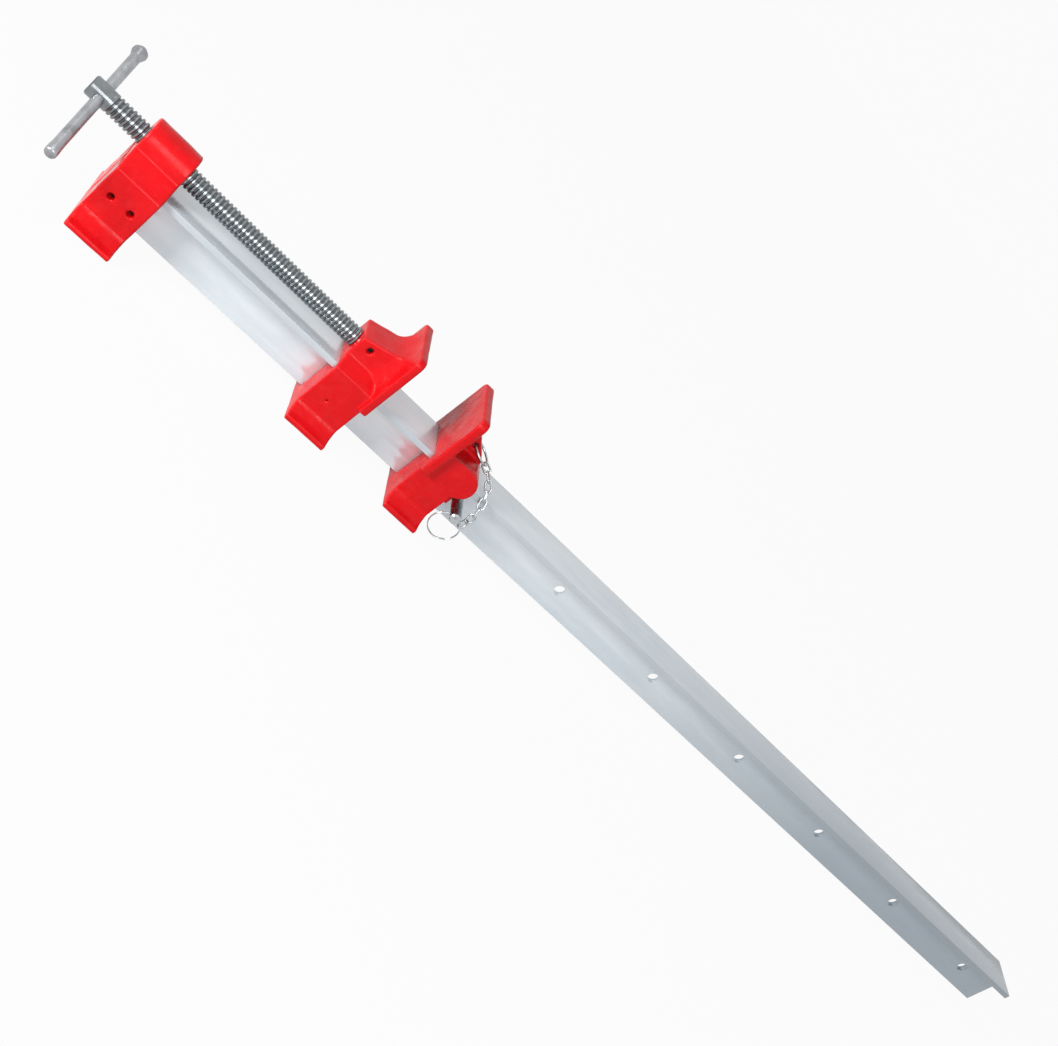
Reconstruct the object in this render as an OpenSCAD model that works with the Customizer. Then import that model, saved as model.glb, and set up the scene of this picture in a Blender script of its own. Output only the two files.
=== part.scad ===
// T-bar clamp: a screw clamp on a T-section steel bar, with a fixed head, a shoe that the
// screw pushes and a tail shoe that a peg holds at one of a row of holes.
// X runs along the bar from the head to the free end, Z is up, the peg is drawn towards -Y.
// The origin is the middle of the underside of the head's foot. All lengths are in millimetres.

/* [T bar] */
// Width of the flange
flange_w = 40; // [34:0.5:46]
// Height of the T section
tee_h = 41; // [36:0.5:46]
// Thickness of flange and web
tee_t = 5; // [3:0.25:7]
// Length of the bar past the last peg hole
bar_end = 42; // [20:1:80]
// Distance from one peg hole to the next
hole_pitch = 115; // [90:1:130]
// Number of peg holes
hole_count = 7; // [3:1:10]
// Diameter of a peg hole
hole_d = 9.5; // [8:0.1:11]

/* [Castings] */
// Length of the head along the bar
head_l = 36; // [30:1:50]
// Width over the head's cheeks
head_cheek_w = 58; // [52:1:64]
// Width over the head's splayed feet
head_foot_w = 88; // [74:1:100]
// Length of the moving shoe along the bar
shoe_l = 39.5; // [38:0.5:50]
// Length of the tail shoe's foot along the bar
tail_l = 32.5; // [28:0.5:34]
// Width over the cheeks of the two shoes
cheek_w = 52; // [50:0.5:60]
// Width over the splayed feet of the two shoes
foot_w = 77; // [66:1:90]
// Height of the web's lower edge above the ground
foot_h = 9; // [6:0.5:14]
// Thickness of the foot's lip
lip_t = 4; // [2:0.5:5]
// Height of the hollow slope from cheek to lip
flare_h = 9; // [5:0.5:14]
// Radius of that hollow slope
flare_r = 18; // [12:1:40]
// Width of the screw block of the head and of the shoe
block_w = 30; // [26:0.5:36]
// Top of the head's round block above the screw's axis
head_rise = 16; // [13:0.5:20]
// Top of the shoe's block above the screw's axis, at its end
block_rise = 11.5; // [9:0.5:16]
// Angle at which the shoe's block rises towards its jaw
block_slope = 15; // [5:1:20]
// Slope from the shoe's block down to its cheeks
shoulder_h = 9; // [5:0.5:10]
// Height of the head's slope from its block down to its cheeks
head_slope_h = 13.5; // [11:0.5:15]
// Foot of the head's slope below the top of the flange
head_slope_drop = 2; // [0:0.5:4]
// Casting above the flange of the tail shoe
saddle_h = 12; // [9:0.5:16]
// Bevel along the top of the tail shoe's cheeks
saddle_bevel = 3; // [1:0.5:4]
// Gap between a sliding shoe and the bar
slide_gap = 0.4; // [0.2:0.05:0.8]
// Gap between the head and the bar
socket_gap = 0.15; // [0.05:0.05:0.4]

/* [Jaws] */
// Width of a jaw
jaw_w = 60; // [57:1:70]
// Jaw above the flange
jaw_rise = 48.5; // [44:0.5:60]
// Jaw below the top of the flange
jaw_drop = 12; // [8:0.5:20]
// Thickness of the tail jaw
jaw_t = 7.5; // [5:0.5:9]
// Moving jaw past the cheeks of its shoe
jaw_proud = 3.5; // [1:0.5:5]
// Thickness of the moving jaw at its rim
rim_t = 6.5; // [4:0.5:9]
// Radius of the jaws' upper corners
jaw_corner_r = 6; // [3:1:16]
// Radius of the hollows that run from the shoe's block into the sides of its jaw
jaw_hollow_r = 13; // [8:0.5:16]
// Radius of the hollow that rises from the shoe's block to the top of its jaw
jaw_sweep_r = 17; // [12:1:20]
// Opening between the jaws at rest
jaw_gap = 56.5; // [40:0.5:80]
// Thickness of the rib behind the tail jaw
rib_t = 10; // [6:0.5:11]
// Reach of the rib behind the tail jaw
rib_reach = 26.5; // [22:0.5:29]
// Top of the rib below the jaw's top
rib_drop = 12; // [8:0.5:20]
// Hole for the anchor ring, from the back of the jaw
rib_hole_x = 13; // [10:0.5:15]
// Hole for the anchor ring, above the cheeks
rib_hole_rise = 8; // [6:0.5:10]
// Diameter of the hole for the anchor ring
rib_hole_d = 4.8; // [3.6:0.1:6]

/* [Screw] */
// Outside diameter of the thread
screw_d = 15; // [13:0.1:16]
// Height of the screw's axis above the flange
screw_rise = 14; // [12:0.5:18]
// Thread pitch
thread_pitch = 3.4; // [2:0.1:4]
// Depth of the thread
thread_depth = 1.2; // [0.8:0.1:1.2]
// Space between head and moving shoe at rest
head_space = 154; // [100:1:175]
// Length of screw that stands out behind the head
screw_tail = 44; // [36:1:60]
// Length of the plain cross-drilled end
plain_l = 15.5; // [14:0.5:26]
// Middle of the cross hole, from the screw's end
cross_x = 9.5; // [8:0.5:13]
// Diameter of the nose inside the moving shoe
nose_d = 10.2; // [8.6:0.1:10.2]
// Length of the nose
nose_l = 27; // [20:0.5:28]
// Depth of the neck groove in the nose
neck_depth = 1; // [0.6:0.1:1.6]
// Diameter of the retaining pin
retainer_d = 5; // [4:0.25:6]
// Middle of the retaining pin, from the shoe's end
retainer_x = 10; // [8:0.5:13]
// Running clearance of round fits, on the radius
run_gap = 0.06; // [0.03:0.01:0.1]

/* [Tommy bar] */
// Diameter of the tommy bar
tommy_d = 7.75; // [6:0.25:9]
// Length of the tommy bar
tommy_l = 130; // [100:1:160]
// Diameter of the upper swaged end
tommy_end_d = 11.2; // [9.4:0.2:13]
// Diameter of the lower swaged end
tommy_foot_d = 9.2; // [9.2:0.2:12]
// Length of a swaged end
tommy_end_l = 10; // [8:0.5:14]
// How far the bar has slid from its middle towards its lower end
tommy_slip = 6; // [0:1:20]
// Turn of the bar from upright, its upper end away from the drawn side
tommy_turn = 73; // [0:1:180]
// Play of the bar in its hole, on the diameter
tommy_play = 0.16; // [0.06:0.02:0.2]

/* [Pins, peg and chain] */
// Diameter of the head's cross pins
head_pin_d = 5; // [4:0.25:7]
// Distance between the head's cross pins
head_pin_pitch = 16; // [12:0.5:20]
// Depth of the pins' ends below the cheeks
pin_recess = 7; // [1:0.5:10]
// Depth of the retaining pin's ends below the screw block's sides
retainer_inset = 4; // [0.5:0.5:6]
// Diameter of the blind hole in the moving shoe's cheek
cheek_hole_d = 2.4; // [1.5:0.1:4]
// Depth of that hole
cheek_hole_depth = 3; // [1:0.5:4]
// Place of that hole along the shoe
cheek_hole_x = 14; // [8:0.5:20]
// Height of that hole
cheek_hole_z = 25.5; // [20:0.5:32]
// Diameter of the peg
peg_d = 9; // [7:0.1:9.2]
// Middle of the peg behind the tail shoe's foot
peg_set_back = 12.5; // [11:0.5:16]
// Peg beyond the cheeks on the side that it is drawn to
peg_out = 8; // [6:0.5:14]
// Peg past the middle of the web on the other side
peg_far = 14; // [10:0.5:20]
// Width of the block that bears on the peg
stop_w = 24; // [16:1:30]
// Height of the block that bears on the peg
stop_h = 15; // [11:0.5:16]
// Radius of the ear above the peg
ear_r = 13; // [10:0.5:15]
// Ear past the block that bears on the peg
ear_past = 1.5; // [0:0.25:2.5]
// Gap between the ear and the peg
ear_gap = 1.5; // [1:0.25:3]
// Wire of the two rings
ring_wire = 1.8; // [1.2:0.1:2.4]
// Radius of the peg's ring, at the middle of its wire
peg_ring_r = 12; // [10:0.5:13]
// Radius of the ring behind the jaw, at the middle of its wire
anchor_ring_r = 10; // [9:0.5:11]
// Wire of the chain
chain_wire = 1.4; // [1:0.1:1.6]
// Width of a link between the middles of its sides
link_w = 4.8; // [4.2:0.1:5.2]
// Play between two links
link_play = 0.5; // [0.4:0.05:0.7]

/* [Hidden] */
$fn = 48;
cut = 1;
link_count = 8;
end_bevel = 1;

enamel = [0.86, 0.09, 0.10];
bar_zinc = [0.72, 0.75, 0.78];
bright_zinc = [0.80, 0.81, 0.82];
dull_steel = [0.56, 0.56, 0.57];

// heights
flange_top = foot_h + tee_h;
flange_bottom = flange_top - tee_t;
hole_z = foot_h + tee_h / 2;
screw_z = flange_top + screw_rise;
boss_z = screw_z + head_rise - block_w / 2;
block_top = screw_z + block_rise;
jaw_top = flange_top + jaw_rise;
jaw_bottom = flange_top - jaw_drop;
shoulder_top = flange_top + slide_gap + shoulder_h;
saddle_top = flange_top + saddle_h;

// places along the bar
head_back = -head_l / 2;
head_front = head_l / 2;
bar_inset = 1;
bar_start = head_back + bar_inset;
shoe_back = head_front + head_space;
jaw_face = shoe_back + shoe_l;
tail_face = jaw_face + jaw_gap;
tail_foot_end = tail_face + tail_l;
peg_seat = 0.3;
peg_x = tail_foot_end + peg_set_back;
bar_stop = peg_x + (hole_count - 1) * hole_pitch + bar_end;
stop_end = peg_x - peg_d / 2 - peg_seat;
screw_end = head_back - screw_tail;
cross_hole_x = screw_end + cross_x;
retainer_at = shoe_back + retainer_x;
retainer_z = screw_z + nose_d / 2 - neck_depth + retainer_d / 2 + run_gap;
head_pin_x = [-head_pin_pitch / 2, head_pin_pitch / 2];

// castings: the head's round block stands out past its slopes, and the flares bend in short flats
boss_step = 1;
flare_steps = 5;
cheek_end = jaw_face - jaw_proud;

// rib and its hole for the anchor ring
rib_brow = 2;
rib_heel = 1;
rib_top = [tail_face + jaw_t + rib_brow, jaw_top - rib_drop];
rib_foot = [tail_face + jaw_t + rib_reach, saddle_top + rib_heel];
rib_hole = [tail_face + jaw_t + rib_hole_x, saddle_top + rib_hole_rise];

// ear of the tail shoe, above the peg
ear_x = stop_end + ear_past - ear_r;
ear_z = saddle_top - ear_r;
ear_bottom = hole_z + peg_d / 2 + ear_gap;

// peg and its ring: the ring hangs through a cross hole near the drawn end
peg_near = -(cheek_w / 2 + peg_out);
peg_hole_set = 4;
peg_hole_y = peg_near + peg_hole_set;
peg_hole_d = 3.8;
ring_lift = 0.5;
peg_ring_z = hole_z + ring_lift - peg_ring_r;

// anchor ring: it droops from the rib hole towards the free end
anchor_droop = 18;
anchor_dir = [cos(anchor_droop), 0, -sin(anchor_droop)];
anchor_play = 0.7;
anchor_mid = [rib_hole[0], 0, rib_hole[1]] + (anchor_ring_r - anchor_play) * anchor_dir;

// chain route: from the anchor ring over the flange's edge to the peg's ring
leave_dir = unit(anchor_dir + [0, -1, 0]);
arrive_dir = unit([1, 0, 1]);
peg_ring_mid = [peg_x, peg_hole_y, peg_ring_z];
route_a = anchor_mid + (anchor_ring_r - (ring_wire + link_play) / 2) * leave_dir;
route_d = peg_ring_mid + (peg_ring_r - (ring_wire + link_play) / 2) * arrive_dir;
leave_pull = 15;
leave_lift = [4, 0, 4];
arrive_pull = 13;
arrive_lift = [-4, 0, 8];
route_b = route_a + leave_pull * leave_dir + leave_lift;
route_c = route_d + arrive_pull * arrive_dir + arrive_lift;
route_steps = 120;
route = [for (i = [0 : route_steps]) bezier(i / route_steps)];
route_run = runs(route);
link_pitch = route_run[route_steps] / link_count;
chain_points = [for (k = [0 : link_count]) along(k * link_pitch)];
twist_a = unit(cross(leave_dir, cross([0, 1, 0], anchor_dir)));
twist_d = [0, 1, 0];

function unit(v) = v / norm(v);
function bezier(t) = pow(1 - t, 3) * route_a + 3 * t * pow(1 - t, 2) * route_b
    + 3 * t * t * (1 - t) * route_c + t * t * t * route_d;
function runs(points, i = 0, total = 0) = i == len(points) ? [] :
    let (here = i == 0 ? 0 : total + norm(points[i] - points[i - 1]))
    concat([here], runs(points, i + 1, here));
function along(s) =
    let (past = [for (i = [1 : route_steps]) if (route_run[i] >= s - 1e-6) i], i = past[0],
        part = (s - route_run[i - 1]) / (route_run[i] - route_run[i - 1]))
    route[i - 1] + min(max(part, 0), 1) * (route[i] - route[i - 1]);

// half outline given for y > 0, mirrored
function both_sides(half) = concat(half, [for (i = [len(half) - 1 : -1 : 0]) [-half[i][0], half[i][1]]]);

// one groove per pitch, as a profile of radius and distance: half a root, flank, crest, flank
root_share = 0.2;
crest_share = 0.3;
half_root = root_share * thread_pitch / 2;
half_crest = crest_share * thread_pitch / 2;
function thread_profile(from, to) = let (turns = floor((to - from) / thread_pitch))
    [for (i = [0 : turns - 1]) each
        let (mid = from + (i + 0.5) * thread_pitch, crest = screw_d / 2, root = crest - thread_depth)
        [[root, mid - thread_pitch / 2 + half_root], [crest, mid - half_crest],
            [crest, mid + half_crest], [root, mid + thread_pitch / 2 - half_root]]];

// places a child drawn in Y and Z, and extruded upwards, along X from a to b
module along_x(a, b) {
    translate([a, 0, 0]) rotate([90, 0, 90]) linear_extrude(b - a) children();
}

// places a child drawn in X and Z across Y, of the given width
module across_y(width) {
    translate([0, width / 2, 0]) rotate([90, 0, 0]) linear_extrude(width) children();
}

module rod_x(d, a, b) {
    translate([a, 0, 0]) rotate([0, 90, 0]) cylinder(d = d, h = b - a);
}

module rod_y(d, a, b) {
    translate([0, a, 0]) rotate([-90, 0, 0]) cylinder(d = d, h = b - a);
}

module tee_section(gap) {
    translate([-flange_w / 2 - gap, flange_bottom - gap])
        square([flange_w + 2 * gap, tee_t + 2 * gap]);
    translate([-tee_t / 2 - gap, foot_h - gap]) square([tee_t + 2 * gap, tee_h - tee_t + gap]);
}

module ring(r, wire) {
    rotate_extrude() translate([r, 0]) circle(d = wire, $fn = 24);
}

// T bar
module t_bar() {
    color(bar_zinc) difference() {
        along_x(bar_start, bar_stop) tee_section(0);
        for (k = [0 : hole_count - 1])
            translate([peg_x + k * hole_pitch, 0, hole_z]) rod_y(hole_d, -tee_t, tee_t);
        for (x = head_pin_x)
            translate([x, 0, hole_z]) rod_y(head_pin_d + 2 * run_gap, -tee_t, tee_t);
    }
}

// Outline of cheeks, hollow flares and lips, from the given top down
module cheek_outline(top, cheek, foot) {
    flare_top = [cheek / 2, lip_t + flare_h];
    flare_foot = [foot / 2, lip_t];
    half = norm(flare_foot - flare_top) / 2;
    out = unit([flare_top[1] - flare_foot[1], flare_foot[0] - flare_top[0]]);
    mid = (flare_top + flare_foot) / 2 + sqrt(flare_r * flare_r - half * half) * out;
    turn = 2 * asin(half / flare_r);
    start = atan2(flare_top[1] - mid[1], flare_top[0] - mid[0]);
    arc = [for (i = [1 : flare_steps - 1]) mid + flare_r * [cos(start + turn * i / flare_steps),
        sin(start + turn * i / flare_steps)]];
    polygon(both_sides(concat(top, [flare_top], arc, [flare_foot, [foot / 2, 0]])));
}

// Fixed head, with the screw's bore and the socket of the bar
module fixed_head() {
    slope_foot = flange_top - head_slope_drop;
    color(enamel) difference() {
        union() {
            translate([0, 0, boss_z]) rod_x(block_w, head_back, head_front);
            along_x(head_back, head_front) cheek_outline([
                [block_w / 2 - boss_step, slope_foot + head_slope_h], [head_cheek_w / 2, slope_foot]],
                head_cheek_w, head_foot_w);
        }
        along_x(head_back - cut, head_front + cut) tee_section(socket_gap);
        translate([0, 0, screw_z]) rod_x(screw_d + 2 * run_gap, head_back - cut, head_front + cut);
        for (x = head_pin_x)
            translate([x, 0, hole_z]) rod_y(head_pin_d + 2 * run_gap, -head_cheek_w, head_cheek_w);
    }
}

module head_pin(x) {
    color(dull_steel) translate([x, 0, hole_z])
        rod_y(head_pin_d, pin_recess - head_cheek_w / 2, head_cheek_w / 2 - pin_recess);
}

module head_pin_outer() {
    head_pin(head_pin_x[0]);
}

module head_pin_inner() {
    head_pin(head_pin_x[1]);
}

// Screw: plain drilled end, thread, nose with a neck groove
module clamp_screw() {
    thread_from = screw_end + plain_l;
    thread_stop = 0.5;
    nose_from = shoe_back - thread_stop;
    nose_to = shoe_back + nose_l;
    neck = retainer_d / 2 + run_gap;
    profile = concat(
        [[0, screw_end], [screw_d / 2 - end_bevel, screw_end], [screw_d / 2, screw_end + end_bevel],
            [screw_d / 2, thread_from]],
        thread_profile(thread_from, nose_from),
        [[screw_d / 2 - thread_depth, nose_from], [nose_d / 2, nose_from],
            [nose_d / 2, retainer_at - neck], [nose_d / 2 - neck_depth, retainer_at - neck],
            [nose_d / 2 - neck_depth, retainer_at + neck], [nose_d / 2, retainer_at + neck],
            [nose_d / 2, nose_to - end_bevel], [nose_d / 2 - end_bevel, nose_to], [0, nose_to]]);
    color(bright_zinc) difference() {
        translate([0, 0, screw_z]) rotate([0, 90, 0]) rotate_extrude() polygon(profile);
        translate([cross_hole_x, 0, screw_z]) rotate([-tommy_turn, 0, 0])
            cylinder(d = tommy_d + tommy_play, h = 2 * screw_d, center = true);
    }
}

// Tommy bar with upset ends
module tommy_bar() {
    half = tommy_l / 2;
    body = tommy_d / 2;
    bulb = tommy_end_d / 2;
    foot = tommy_foot_d / 2;
    taper = 4;
    crown_l = 4;
    crown_in = 2.4;
    profile = [[0, -half], [foot - end_bevel, -half], [foot, end_bevel - half],
        [foot, tommy_end_l - half - taper], [body, tommy_end_l - half], [body, half - tommy_end_l],
        [bulb, half - tommy_end_l + taper], [bulb, half - crown_l], [bulb - crown_in, half], [0, half]];
    color(dull_steel) translate([cross_hole_x, 0, screw_z]) rotate([-tommy_turn, 0, 0])
        translate([0, 0, -tommy_slip]) rotate_extrude() polygon(profile);
}

// Front view of a jaw: a plate with round upper corners
module jaw_outline() {
    r = jaw_corner_r;
    translate([-jaw_w / 2, jaw_bottom]) square([jaw_w, jaw_top - r - jaw_bottom]);
    translate([r - jaw_w / 2, jaw_bottom]) square([jaw_w - 2 * r, jaw_top - jaw_bottom]);
    for (side = [-1, 1]) translate([side * (jaw_w / 2 - r), jaw_top - r]) circle(r = r);
}

// Plan of the moving shoe's upper part: block, hollows and jaw rim
module shoe_plan() {
    r = jaw_hollow_r;
    rim = jaw_face - rim_t;
    translate([shoe_back, -block_w / 2]) square([shoe_l, block_w]);
    translate([rim, -jaw_w / 2]) square([rim_t, jaw_w]);
    difference() {
        translate([rim - r, -block_w / 2 - r]) square([r, block_w + 2 * r]);
        for (side = [-1, 1]) translate([rim - r, side * (block_w / 2 + r)]) circle(r = r);
    }
}

// Side view of the moving shoe's upper part: rising block, sweep and jaw
module shoe_side() {
    r = jaw_sweep_r;
    rim = jaw_face - rim_t;
    foot_x = rim - r + r * sin(block_slope);
    foot = [foot_x, block_top + (foot_x - shoe_back) * tan(block_slope)];
    mid = [rim - r, foot[1] + r * cos(block_slope)];
    sweep_top = min(mid[1], jaw_top);
    polygon([[shoe_back, flange_top], [rim, flange_top], [rim, foot[1]], foot, [shoe_back, block_top]]);
    translate([rim - jaw_hollow_r, jaw_bottom])
        square([jaw_hollow_r + rim_t, block_top - jaw_bottom]);
    translate([rim, jaw_bottom]) square([rim_t, jaw_top - jaw_bottom]);
    difference() {
        polygon([foot, [rim, foot[1]], [rim, sweep_top], [mid[0], sweep_top]]);
        translate(mid) circle(r = r);
    }
}

// Moving shoe, with the slot of the bar and the blind bore of the screw's nose
module moving_shoe() {
    bore_end = shoe_back + nose_l + run_gap;
    color(enamel) difference() {
        union() {
            along_x(shoe_back, cheek_end) cheek_outline([
                [block_w / 2, shoulder_top], [cheek_w / 2, flange_top + slide_gap]], cheek_w, foot_w);
            intersection() {
                linear_extrude(jaw_top + cut) shoe_plan();
                across_y(jaw_w) shoe_side();
                along_x(shoe_back, jaw_face) jaw_outline();
            }
        }
        along_x(shoe_back - cut, jaw_face + cut) tee_section(slide_gap);
        translate([0, 0, screw_z]) rod_x(nose_d + 2 * run_gap, shoe_back - cut, bore_end);
        translate([retainer_at, 0, retainer_z])
            rod_y(retainer_d + 2 * run_gap, -block_w, block_w);
        translate([shoe_back + cheek_hole_x, 0, cheek_hole_z])
            rod_y(cheek_hole_d, -cheek_w, cheek_hole_depth - cheek_w / 2);
    }
}

module screw_retaining_pin() {
    color(dull_steel) translate([retainer_at, 0, retainer_z])
        rod_y(retainer_d, retainer_inset - block_w / 2, block_w / 2 - retainer_inset);
}

// Side view of the tail shoe's ear, which is round behind and hollow below
module ear_side() {
    difference() {
        union() {
            translate([ear_x, ear_z]) circle(r = ear_r);
            translate([tail_face, ear_bottom]) square([ear_x - tail_face, saddle_top - ear_bottom]);
        }
        translate([tail_face, 0]) square([2 * (stop_end - tail_face), ear_bottom]);
    }
}

module tail_shoe() {
    color(enamel) difference() {
        union() {
            along_x(tail_face, tail_foot_end) cheek_outline([
                [cheek_w / 2 - saddle_bevel, saddle_top], [cheek_w / 2, saddle_top - saddle_bevel]],
                cheek_w, foot_w);
            along_x(tail_face, tail_face + jaw_t) jaw_outline();
            across_y(cheek_w) ear_side();
            translate([tail_foot_end - cut, -stop_w / 2, hole_z - stop_h / 2])
                cube([stop_end - tail_foot_end + cut, stop_w, stop_h]);
            across_y(rib_t) polygon([rib_top, rib_foot, [rib_foot[0], flange_top + slide_gap],
                [tail_face, flange_top + slide_gap], [tail_face, rib_top[1]]]);
        }
        along_x(tail_face - cut, stop_end + 2 * ear_r) tee_section(slide_gap);
        translate([rib_hole[0], 0, rib_hole[1]]) rod_y(rib_hole_d, -rib_t, rib_t);
    }
}

module locking_peg() {
    point_l = 3;
    point_in = 2;
    color(bright_zinc) difference() {
        translate([peg_x, 0, hole_z]) rotate([-90, 0, 0]) rotate_extrude() polygon([
            [0, peg_near], [peg_d / 2 - end_bevel, peg_near], [peg_d / 2, peg_near + end_bevel],
            [peg_d / 2, peg_far - point_l], [peg_d / 2 - point_in, peg_far], [0, peg_far]]);
        translate([0, peg_hole_y, hole_z]) rod_x(peg_hole_d, peg_x - peg_d, peg_x + peg_d);
    }
}

module peg_ring() {
    color(bright_zinc) translate(peg_ring_mid) rotate([90, 0, 0]) ring(peg_ring_r, ring_wire);
}

module anchor_ring() {
    color(bright_zinc) translate(anchor_mid) rotate([0, anchor_droop, 0])
        ring(anchor_ring_r, ring_wire);
}

// Oval wire link, drawn along X in the XY plane. Its sides are a hair thicker than its bends and
// take in the bends' ends.
module oval_link(length) {
    straight = length - link_w;
    lap = 0.2;
    swell = 0.04;
    for (end = [0, 1]) rotate([0, 0, 180 * end]) {
        translate([straight / 2, 0, 0]) rotate([0, 0, -90]) rotate_extrude(angle = 180)
            translate([link_w / 2, 0]) circle(d = chain_wire, $fn = 24);
        translate([-straight / 2 - lap, link_w / 2, 0]) rotate([0, 90, 0])
            cylinder(d = chain_wire + swell, h = straight + 2 * lap, $fn = 24);
    }
}

// Round wire link with a mouth near its +X end, on the side of +Y or of -Y
module open_link(length, side) {
    tip = 12;
    mouth = 65;
    rotate([0, 0, side > 0 ? tip + mouth : -tip]) rotate_extrude(angle = 360 - mouth)
        translate([length / 2, 0]) circle(d = chain_wire, $fn = 24);
}

// Link k of the chain, on its stretch of the route. The last one is open on the side where the
// peg's ring is drawn out.
module chain_link(k) {
    from = chain_points[k - 1];
    to = chain_points[k];
    x = unit(to - from);
    share = (k - 1) / (link_count - 1);
    lean = (1 - share) * twist_a + share * twist_d;
    flat = unit(lean - (lean * x) * x);
    z = k % 2 == 1 ? flat : cross(x, flat);
    y = cross(z, x);
    mid = (from + to) / 2;
    length = norm(to - from) + chain_wire + link_play;
    color(bright_zinc) multmatrix([[x[0], y[0], z[0], mid[0]], [x[1], y[1], z[1], mid[1]],
        [x[2], y[2], z[2], mid[2]], [0, 0, 0, 1]]) {
        if (k < link_count) oval_link(length);
        else open_link(length, y[1] > 0 ? -1 : 1);
    }
}

module chain_link_1() {
    chain_link(1);
}

module chain_link_2() {
    chain_link(2);
}

module chain_link_3() {
    chain_link(3);
}

module chain_link_4() {
    chain_link(4);
}

module chain_link_5() {
    chain_link(5);
}

module chain_link_6() {
    chain_link(6);
}

module chain_link_7() {
    chain_link(7);
}

module chain_link_8() {
    chain_link(8);
}

t_bar();
fixed_head();
head_pin_outer();
head_pin_inner();
clamp_screw();
tommy_bar();
moving_shoe();
screw_retaining_pin();
tail_shoe();
locking_peg();
peg_ring();
anchor_ring();
chain_link_1();
chain_link_2();
chain_link_3();
chain_link_4();
chain_link_5();
chain_link_6();
chain_link_7();
chain_link_8();
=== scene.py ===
import math

import bmesh
import bpy
from mathutils import Matrix, Vector


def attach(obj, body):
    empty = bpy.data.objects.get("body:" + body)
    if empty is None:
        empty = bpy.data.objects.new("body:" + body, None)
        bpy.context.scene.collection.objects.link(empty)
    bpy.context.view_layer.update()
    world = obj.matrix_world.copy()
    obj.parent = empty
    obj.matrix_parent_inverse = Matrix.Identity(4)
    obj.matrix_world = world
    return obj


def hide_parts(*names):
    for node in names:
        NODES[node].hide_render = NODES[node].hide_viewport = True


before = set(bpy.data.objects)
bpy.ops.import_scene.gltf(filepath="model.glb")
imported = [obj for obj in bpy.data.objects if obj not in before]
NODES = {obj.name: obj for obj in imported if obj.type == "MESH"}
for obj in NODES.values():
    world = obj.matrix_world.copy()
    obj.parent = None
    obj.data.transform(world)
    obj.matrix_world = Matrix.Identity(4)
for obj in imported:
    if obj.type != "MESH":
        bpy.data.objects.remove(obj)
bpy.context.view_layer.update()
MM = 0.001

# Sizes by which a material finds its place on a piece: the screw's thread, the edges of the bar's flange
# and the stretch of the bar over which painted shade darkens it towards its free end
SCREW_Z = 64 * MM
CREST_R = 7.5 * MM
ROOT_R = 6.3 * MM
FLANGE_EDGE_FROM = 19.2 * MM
FLANGE_EDGE_TO = 19.9 * MM
FAR_SHADE_FROM = 500 * MM
FAR_SHADE_TO = 800 * MM


# Materials

def linear(hex_code):
    """sRGB hex to linear colour with alpha."""
    parts = [int(hex_code[i:i + 2], 16) / 255 for i in (1, 3, 5)]
    return [p / 12.92 if p <= 0.04045 else ((p + 0.055) / 1.055) ** 2.4 for p in parts] + [1.0]


def add(tree, kind, settings=None, links=None):
    """Adds a shader node, sets its properties and inputs, and links other sockets into it."""
    made = tree.nodes.new(kind)
    for key, value in (settings or {}).items():
        if isinstance(key, str) and hasattr(made, key):
            setattr(made, key, value)
        else:
            made.inputs[key].default_value = value
    for key, socket in (links or {}).items():
        tree.links.new(socket, made.inputs[key])
    return made


def patches(tree, place, size_mm, low, high):
    """Cloudy patches of a real size, as a mask from 0 to 1."""
    grain = add(tree, "ShaderNodeTexNoise", {"Scale": 1 / (size_mm * MM), "Detail": 3.0},
                {"Vector": place})
    return add(tree, "ShaderNodeMapRange", {"From Min": low, "From Max": high},
               {"Value": grain.outputs["Fac"]}).outputs[0]


def groove_shade_mask(tree, place):
    """Painted shade in the screw's thread grooves: 1 at the root and 0 at the crest, by distance from the
    screw's axis.
    """
    from_axis = add(tree, "ShaderNodeVectorMath", {"operation": "SUBTRACT", 1: (0, 0, SCREW_Z)},
                    {0: place})
    across = add(tree, "ShaderNodeVectorMath", {"operation": "MULTIPLY", 1: (0, 1, 1)},
                 {0: from_axis.outputs[0]})
    radius = add(tree, "ShaderNodeVectorMath", {"operation": "LENGTH"}, {0: across.outputs[0]})
    return add(tree, "ShaderNodeMapRange",
               {"From Min": ROOT_R, "From Max": CREST_R, "To Min": 1.0, "To Max": 0.0},
               {"Value": radius.outputs["Value"]}).outputs[0]


def flange_edge_mask(tree, place):
    """1 on the two narrow edges of the bar's flange, by distance from the bar's middle plane."""
    across = add(tree, "ShaderNodeSeparateXYZ", {}, {0: place})
    out = add(tree, "ShaderNodeMath", {"operation": "ABSOLUTE"}, {0: across.outputs["Y"]})
    return add(tree, "ShaderNodeMapRange", {"From Min": FLANGE_EDGE_FROM, "From Max": FLANGE_EDGE_TO},
               {"Value": out.outputs[0]}).outputs[0]


def far_end_shade_mask(tree, place):
    """Painted shade: 0 on the worked half of the bar, rising to 1 at its free end, darkened as if less light
    reached it.
    """
    along = add(tree, "ShaderNodeSeparateXYZ", {}, {0: place})
    return add(tree, "ShaderNodeMapRange", {"From Min": FAR_SHADE_FROM, "From Max": FAR_SHADE_TO},
               {"Value": along.outputs["X"]}).outputs[0]


def edge_highlight_mask(tree, place):
    """1 along sharp outer edges, where a painted highlight pales the enamel. The shape alone gives it, not
    the place.
    """
    shape = add(tree, "ShaderNodeNewGeometry")
    return add(tree, "ShaderNodeMapRange", {"From Min": 0.52, "From Max": 0.62},
               {"Value": shape.outputs["Pointiness"]}).outputs[0]


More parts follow.
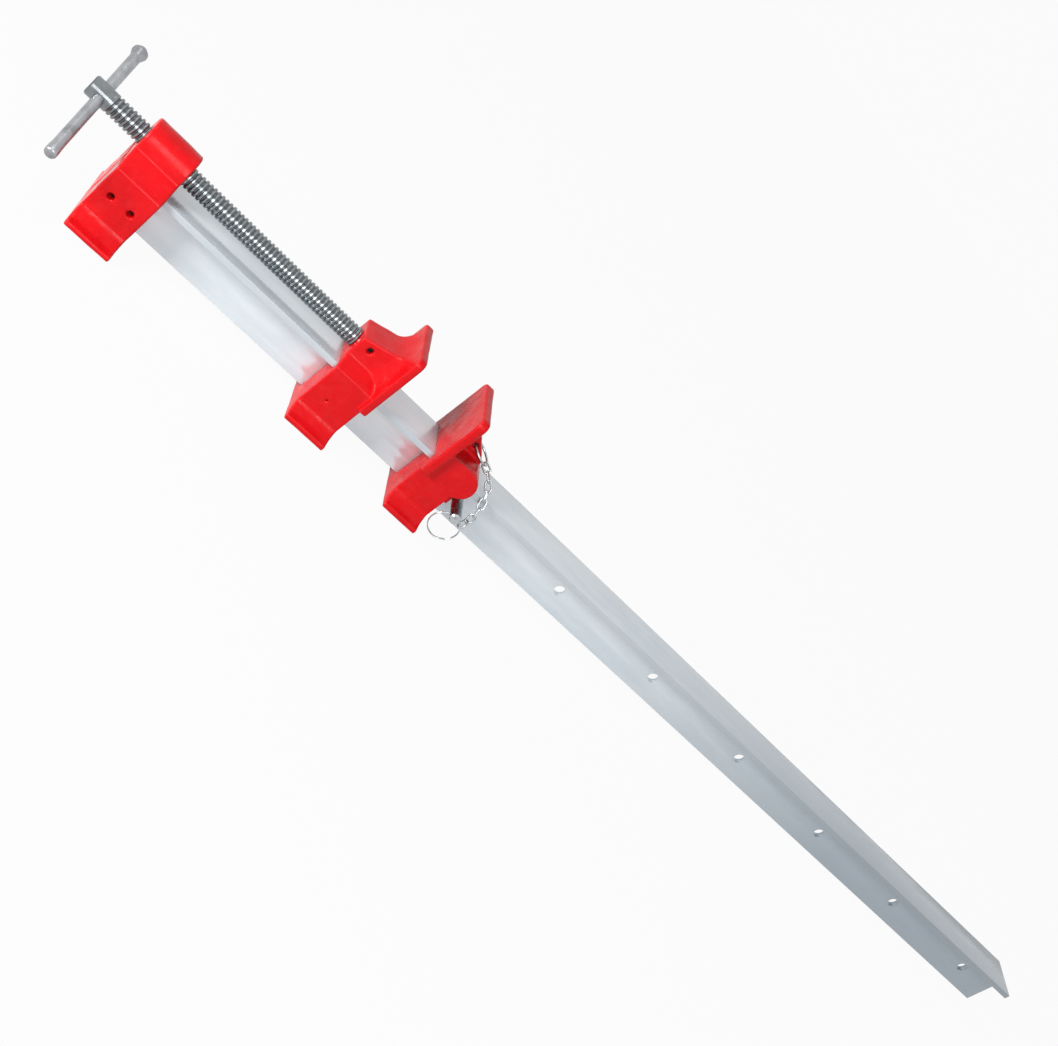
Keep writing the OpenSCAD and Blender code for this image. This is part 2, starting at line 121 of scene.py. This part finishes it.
def surface(name, colour, metallic, roughness, stains, bumps, sockets=None, stretch=(1, 1, 1)):
    """A material on Blender's principled shader.

    roughness is (lowest, highest, patch size in mm). Each stain is (colour, mask, share), where the
    mask is one of the functions above or (patch size in mm, low, high) of a noise. Each bump is
    (size, height) in mm. sockets are values on the shader itself, and stretch scales the patterns.
    """
    made = bpy.data.materials.new(name)
    made.use_nodes = True
    tree = made.node_tree
    shader = tree.nodes["Principled BSDF"]
    shader.inputs["Metallic"].default_value = metallic
    for key, value in (sockets or {}).items():
        shader.inputs[key].default_value = value
    where = add(tree, "ShaderNodeTexCoord").outputs["Object"]
    place = add(tree, "ShaderNodeMapping", {"Scale": stretch}, {"Vector": where}).outputs[0]
    shade = None
    for hex_code, mask, share in stains:
        cover = mask(tree, where) if callable(mask) else patches(tree, place, *mask)
        part = add(tree, "ShaderNodeMath", {"operation": "MULTIPLY", 1: share}, {0: cover}).outputs[0]
        mix = add(tree, "ShaderNodeMix",
                  {"data_type": "RGBA", 6: linear(colour), 7: linear(hex_code)},
                  {"Factor": part} if shade is None else {"Factor": part, 6: shade})
        shade = mix.outputs[2]
    tree.links.new(shade, shader.inputs["Base Color"])
    low, high, size_mm = roughness
    rough = add(tree, "ShaderNodeMapRange", {"To Min": low, "To Max": high},
                {"Value": patches(tree, place, size_mm, 0.4, 0.6)})
    tree.links.new(rough.outputs[0], shader.inputs["Roughness"])
    normal = {}
    for size_mm, height_mm in bumps:
        grain = add(tree, "ShaderNodeTexNoise", {"Scale": 1 / (size_mm * MM), "Detail": 2.0},
                    {"Vector": place})
        bump = add(tree, "ShaderNodeBump", {"Strength": 1.0, "Distance": height_mm * MM},
                   {"Height": grain.outputs["Fac"], **normal})
        normal = {"Normal": bump.outputs[0]}
    tree.links.new(normal["Normal"], shader.inputs["Normal"])
    return made


# Thick gloss enamel over a sand casting: a clear red that keeps its colour in the shade, narrow soft
# highlights on a slightly lumpy skin, and a painted highlight as a paler line over the edges
enamel = surface("red_enamel_on_cast_iron", "#d81017", 0.0, (0.17, 0.32, 9),
                 [("#c40a13", (24, 0.45, 0.65), 0.6), ("#e52325", (6, 0.5, 0.7), 0.35),
                  ("#f4675f", edge_highlight_mask, 0.5)],
                 [(8, 0.22), (1.4, 0.03)], {"Specular IOR Level": 0.17})
# Zinc plating on rolled bar: pale blue-grey, cloudy, with faint rolling marks along the bar, painted
# shade darkening it towards the free end, and darker on the flange's edges
bar_zinc = surface("zinc_on_rolled_bar", "#dde3e7", 0.42, (0.14, 0.24, 14),
                   [("#cbd6de", (30, 0.4, 0.62), 0.6), ("#e8eef0", (9, 0.5, 0.7), 0.4),
                    ("#a2aeb8", far_end_shade_mask, 0.8), ("#979fa5", flange_edge_mask, 0.4)],
                   [(7, 0.025), (0.8, 0.004)], {"Specular IOR Level": 0.5}, (0.2, 1, 1))
# Bright zinc on the cut thread: grey metal, with a hard highlight on the crests and painted shade in the
# grooves
thread_zinc = surface("bright_zinc_on_cut_thread", "#8a8f92", 1.0, (0.14, 0.22, 4),
                      [("#73787b", (5, 0.45, 0.65), 0.5), ("#34383a", groove_shade_mask, 0.4)],
                      [(1.2, 0.012)])
# Bright zinc on drawn wire and on the turned peg: paler, with grey clouds
wire_zinc = surface("bright_zinc_on_wire", "#b9bec0", 1.0, (0.22, 0.36, 4),
                    [("#84898c", (5, 0.45, 0.65), 0.5), ("#d5d9da", (2, 0.5, 0.7), 0.3)],
                    [(1.2, 0.02)])
# Bare hot-forged rod: dull warm grey with darker scale and a pitted skin
forged_steel = surface("bare_forged_steel", "#a5a7aa", 0.9, (0.30, 0.45, 5),
                       [("#717377", (14, 0.48, 0.7), 0.6), ("#bdbfc1", (6, 0.5, 0.7), 0.4)],
                       [(3.5, 0.06), (0.8, 0.01)])
# Pin steel blackened by oil and dirt in its hole: nearly black with a weak shine
oiled_steel = surface("oil_blackened_steel", "#2b2928", 0.7, (0.40, 0.60, 3),
                      [("#171615", (2, 0.45, 0.65), 0.7)], [(1.0, 0.05)])


# Pieces

def piece(name, mesh, material, body, slot, *nodes):
    """Puts a mesh in the scene as a smooth piece that rides on a body and stands for CAD nodes."""
    made = bpy.data.objects.new(name, mesh)
    bpy.context.scene.collection.objects.link(made)
    mesh.materials.clear()
    mesh.materials.append(material)
    for face in mesh.polygons:
        face.use_smooth = True
    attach(made, body)
    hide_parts(*nodes)


def shaped(mesh, modifiers):
    """The mesh after the given modifiers, each a kind and its settings."""
    work = bpy.data.objects.new("work", mesh)
    bpy.context.scene.collection.objects.link(work)
    for kind, settings in modifiers:
        modifier = work.modifiers.new(kind.lower(), kind)
        for key, value in settings.items():
            setattr(modifier, key, value)
    ready = bpy.data.meshes.new_from_object(work.evaluated_get(bpy.context.evaluated_depsgraph_get()))
    bpy.data.objects.remove(work)
    return ready


def skin(loops):
    """A mesh over a row of equal loops of points, with its two ends filled."""
    work = bmesh.new()
    rows = [[work.verts.new(point) for point in loop] for loop in loops]
    count = len(rows[0])
    for low, high in zip(rows, rows[1:]):
        for k in range(count):
            work.faces.new((low[k], low[(k + 1) % count], high[(k + 1) % count], high[k]))
    work.faces.new(list(reversed(rows[0])))
    work.faces.new(rows[-1])
    bmesh.ops.recalc_face_normals(work, faces=work.faces)
    mesh = bpy.data.meshes.new("skin")
    work.to_mesh(mesh)
    work.free()
    return mesh


def round_angles(count):
    """Evenly spaced angles of one turn."""
    return [2 * math.pi * k / count for k in range(count)]


def eased(share):
    """A share held between 0 and 1, with soft starts and stops."""
    share = min(max(share, 0), 1)
    return share * share * (3 - 2 * share)


# Castings: the solids with the soft edges, filled corners and uneven skin of a sand casting
CASTING_VOXEL = 0.7 * MM
CASTING_SMOOTHING = 18
SAND_LUMPS = 14 * MM
SAND_HEIGHT = 0.5 * MM
CASTING_FACES_KEPT = 0.5
sand = bpy.data.textures.new("sand_mould", "CLOUDS")
sand.noise_scale = SAND_LUMPS
sand.noise_depth = 1
for node, body in (("fixed_head", "bar"), ("moving_shoe", "moving_shoe"), ("tail_shoe", "tail_shoe")):
    soft = shaped(NODES[node].data.copy(), [
        ("REMESH", {"mode": "VOXEL", "voxel_size": CASTING_VOXEL}),
        ("SMOOTH", {"factor": 0.5, "iterations": CASTING_SMOOTHING}),
        ("DISPLACE", {"texture": sand, "texture_coords": "LOCAL", "strength": SAND_HEIGHT,
                      "mid_level": 0.5}),
        ("DECIMATE", {"ratio": CASTING_FACES_KEPT})])
    piece(node + "_casting", soft, enamel, body, "enamel", node)

# Bar: the rolled section with small rounded edges. The solid's triangles are first joined into its
# flat faces.
BAR_EDGE_R = 0.6 * MM
SAME_POINT = 0.002 * MM
FLAT_ANGLE = math.radians(1)
SHARP_ANGLE = math.radians(40)
section = NODES["t_bar"].data.copy()
work = bmesh.new()
work.from_mesh(section)
bmesh.ops.remove_doubles(work, verts=work.verts, dist=SAME_POINT)
bmesh.ops.dissolve_limit(work, angle_limit=FLAT_ANGLE, verts=work.verts, edges=work.edges)
work.to_mesh(section)
work.free()
bar = shaped(section, [("BEVEL", {"width": BAR_EDGE_R, "segments": 3, "limit_method": "ANGLE",
                                  "angle_limit": SHARP_ANGLE})])
piece("rolled_bar", bar, bar_zinc, "bar", "bar_zinc", "t_bar")

# Screw: plain ends from the solid, and between them a real right-hand helix that runs out at both ends
PITCH = 3.4 * MM
THREAD_FROM = -46.5 * MM
THREAD_TO = 171.4 * MM
THREAD_SIDES = 48
PITCH_STEPS = 12
# share of the pitch, from the middle of a crest, at which the crest ends and the groove's floor begins
CREST_SHARE = 0.20
ROOT_SHARE = 0.40


def thread_radius(x, turn):
    """Distance of the thread's surface from the screw's axis."""
    away = abs((x - THREAD_FROM) / PITCH + turn / (2 * math.pi) + 0.5) % 1
    away = min(away, 1 - away)
    fall = eased((away - CREST_SHARE) / (ROOT_SHARE - CREST_SHARE))
    run_out = min(max(min(x - THREAD_FROM, THREAD_TO - x) / PITCH, 0), 1)
    return CREST_R - (CREST_R - ROOT_R) * run_out * fall


def thread_loop(x):
    """The thread's outline at one place along the screw."""
    points = []
    for turn in round_angles(THREAD_SIDES):
        radius = thread_radius(x, turn)
        points.append((x, -radius * math.sin(turn), SCREW_Z + radius * math.cos(turn)))
    return points


screw = NODES["clamp_screw"].data.copy()
work = bmesh.new()
work.from_mesh(screw)
grooved = [face for face in work.faces if THREAD_FROM < face.calc_center_median().x < THREAD_TO]
bmesh.ops.delete(work, geom=grooved, context="FACES")
bmesh.ops.holes_fill(work, edges=[edge for edge in work.edges if edge.is_boundary], sides=0)
thread_l = THREAD_TO - THREAD_FROM
thread_rows = int(round(thread_l / PITCH * PITCH_STEPS))
thread_places = [THREAD_FROM + thread_l * i / thread_rows for i in range(thread_rows + 1)]
work.from_mesh(skin([thread_loop(x) for x in thread_places]))
work.to_mesh(screw)
work.free()
piece("screw_with_thread", screw, thread_zinc, "screw", "bright_zinc", "clamp_screw")

# Tommy bar: a rod whose upper end is upset into a blunt facetted head and whose lower end is only a
# little swollen
TOMMY_AXIS = Vector((0, 0.956305, 0.292372))
TOMMY_X = -52.5 * MM
TOMMY_SLIP = 6 * MM
TOMMY_MID = Vector((TOMMY_X, 0, SCREW_Z)) - TOMMY_SLIP * TOMMY_AXIS
TOMMY_HALF = 65 * MM
TOMMY_PLAIN_HALF = 40 * MM
TOMMY_STEP = 8 * MM
TOMMY_STEPS = 10
TOMMY_SIDES = 32
TOMMY_R = 3.875
# place from the end in mm, and the half widths along the screw and across it in mm
LOWER_END = ((0.0, 3.3, 3.2), (0.2, 3.6, 3.5), (0.8, 4.0, 3.9), (1.2, 4.15, 4.05), (5.0, 4.2, 4.1),
             (9.5, 3.95, 3.9), (13.0, TOMMY_R, TOMMY_R))
UPPER_END = ((0.0, 2.9, 2.7), (0.2, 3.2, 3.0), (3.2, 5.3, 4.9), (3.6, 5.5, 5.1), (5.4, 5.6, 5.2),
             (5.9, 5.45, 5.1), (10.6, 4.05, 3.95), (11.4, 3.95, 3.9), (13.0, TOMMY_R, TOMMY_R))
across = TOMMY_AXIS.cross(Vector((1, 0, 0))).normalized()
along_screw = TOMMY_AXIS.cross(across)
stations = [(place * MM - TOMMY_HALF, wide, thick) for place, wide, thick in LOWER_END]
stations += [(TOMMY_STEP * i - TOMMY_PLAIN_HALF, TOMMY_R, TOMMY_R) for i in range(TOMMY_STEPS + 1)]
stations += [(TOMMY_HALF - place * MM, wide, thick) for place, wide, thick in reversed(UPPER_END)]
rod_loops = []
for along, wide, thick in stations:
    middle = TOMMY_MID + along * TOMMY_AXIS
    rod_loops.append([middle + MM * wide * math.cos(t) * along_screw + MM * thick * math.sin(t) * across
                      for t in round_angles(TOMMY_SIDES)])
piece("upset_tommy_bar", skin(rod_loops), forged_steel, "tommy", "dull_steel", "tommy_bar")

# Peg's ring: a split ring of two turns of wire side by side, with a short bend where one turn crosses
# into the other
RING_MID = Vector((313 * MM, -30 * MM, 18 * MM))
RING_R = 12 * MM
RING_AXIS = Vector((0, 1, 0))
WIRE_R = 0.45 * MM
RING_STEPS = 72
CROSS_STEPS = 10
WIRE_SIDES = 10
ring_loops = []
for i in range(2 * RING_STEPS - CROSS_STEPS + 1):
    turn = 2 * math.pi * i / RING_STEPS
    out = Vector((math.sin(turn), 0, math.cos(turn)))
    crossed = eased((i - RING_STEPS) / CROSS_STEPS + 1)
    middle = RING_MID + RING_R * out + (2 * crossed - 1) * WIRE_R * RING_AXIS
    ring_loops.append([middle + WIRE_R * (math.cos(t) * out + math.sin(t) * RING_AXIS)
                       for t in round_angles(WIRE_SIDES)])
piece("split_ring", skin(ring_loops), wire_zinc, "ring", "bright_zinc", "peg_ring")

# Pins, peg, anchor ring and chain keep their solids and get their steel
CHAIN = ["chain_link_%d" % k for k in range(1, 9)]
for steel, nodes in ((oiled_steel, ["head_pin_outer", "head_pin_inner", "screw_retaining_pin"]),
                     (wire_zinc, ["locking_peg", "anchor_ring"] + CHAIN)):
    for node in nodes:
        NODES[node].data.materials.clear()
        NODES[node].data.materials.append(steel)


# Stage: white floor and surroundings, soft light, and the photo's camera

def white_seen(tree, lit, strength):
    """Mixes plain white into a shader for the rays that show the surroundings, to the given strength."""
    path = add(tree, "ShaderNodeLightPath")
    mirrored = add(tree, "ShaderNodeMath", {"operation": "MAXIMUM"},
                   {0: path.outputs["Is Glossy Ray"], 1: path.outputs["Is Transmission Ray"]})
    seen = add(tree, "ShaderNodeMath", {"operation": "MAXIMUM"},
               {0: path.outputs["Is Camera Ray"], 1: mirrored.outputs[0]})
    share = add(tree, "ShaderNodeMath", {"operation": "MULTIPLY", 1: strength}, {0: seen.outputs[0]})
    glow = add(tree, "ShaderNodeEmission", {"Color": (1, 1, 1, 1), "Strength": 1.0})
    return add(tree, "ShaderNodeMixShader", {},
               {0: share.outputs[0], 1: lit, 2: glow.outputs[0]}).outputs[0]


# The floor and the sky show the same share of white, so that no horizon is seen
WHITE_SHARE = 0.95
FLOOR_HALF = 6.0
FLOOR_Z = -0.5 * MM
SKY_STRENGTH = 0.22
floor_mesh = bpy.data.meshes.new("floor")
floor_corners = [(x * FLOOR_HALF, y * FLOOR_HALF, FLOOR_Z) for x, y in ((-1, -1), (1, -1), (1, 1), (-1, 1))]
floor_mesh.from_pydata(floor_corners, [], [(0, 1, 2, 3)])
floor = bpy.data.objects.new("floor", floor_mesh)
bpy.context.scene.collection.objects.link(floor)
paper = bpy.data.materials.new("white_paper")
paper.use_nodes = True
paper_tree = paper.node_tree
sheet = paper_tree.nodes["Principled BSDF"]
sheet.inputs["Base Color"].default_value = linear("#b8b8b8")
sheet.inputs["Roughness"].default_value = 0.9
paper_tree.links.new(white_seen(paper_tree, sheet.outputs[0], WHITE_SHARE),
                     paper_tree.nodes["Material Output"].inputs["Surface"])
floor_mesh.materials.append(paper)

world = bpy.data.worlds.new("studio")
bpy.context.scene.world = world
world.use_nodes = True
world_tree = world.node_tree
sky = world_tree.nodes["Background"]
sky.inputs["Color"].default_value = linear("#f2f7ff")
sky.inputs["Strength"].default_value = SKY_STRENGTH
world_tree.links.new(white_seen(world_tree, sky.outputs[0], WHITE_SHARE),
                     world_tree.nodes["World Output"].inputs["Surface"])


def softbox(name, place, aim, size, power):
    """A lamp with a flat front, turned to its aim. Its width and height are in metres, its power in watts."""
    data = bpy.data.lights.new(name, "AREA")
    data.shape = "RECTANGLE"
    data.size, data.size_y = size
    data.energy = power
    made = bpy.data.objects.new(name, data)
    bpy.context.scene.collection.objects.link(made)
    made.location = place
    made.rotation_euler = (Vector(aim) - Vector(place)).to_track_quat("-Z", "Y").to_euler()
    made.visible_camera = False


# The front lamp stands where the screw mirrors it along its whole length, the left one lights the
# faces that look along the bar, and the top one the flange
softbox("front", (0.26, -1.10, 0.60), (0.2, 0, 0.05), (0.56, 0.66), 6.5)
softbox("left", (-0.80, -0.52, 0.36), (0.05, 0, 0.05), (0.4, 0.4), 13)
softbox("top", (-0.5, 0.15, 1.4), (0.25, 0, 0.05), (0.8, 0.6), 3)

# Camera worked out from the peg holes and the edges of the bar in the photo
PHOTO_W = 1058
FOCAL_PX = 1450
SENSOR_W = 36
camera_data = bpy.data.cameras.new("camera")
camera_data.sensor_fit = "HORIZONTAL"
camera_data.sensor_width = SENSOR_W
camera_data.lens = SENSOR_W * FOCAL_PX / PHOTO_W
camera_data.clip_end = 50
camera = bpy.data.objects.new("camera", camera_data)
bpy.context.scene.collection.objects.link(camera)
camera.matrix_world = Matrix(((0.66191, -0.629703, -0.40663, -0.076136),
                              (0.032061, 0.565762, -0.823945, -0.896320),
                              (0.748897, 0.532341, 0.394672, 0.481800),
                              (0, 0, 0, 1)))
bpy.context.scene.camera = camera
bpy.context.scene.view_settings.view_transform = "Standard"
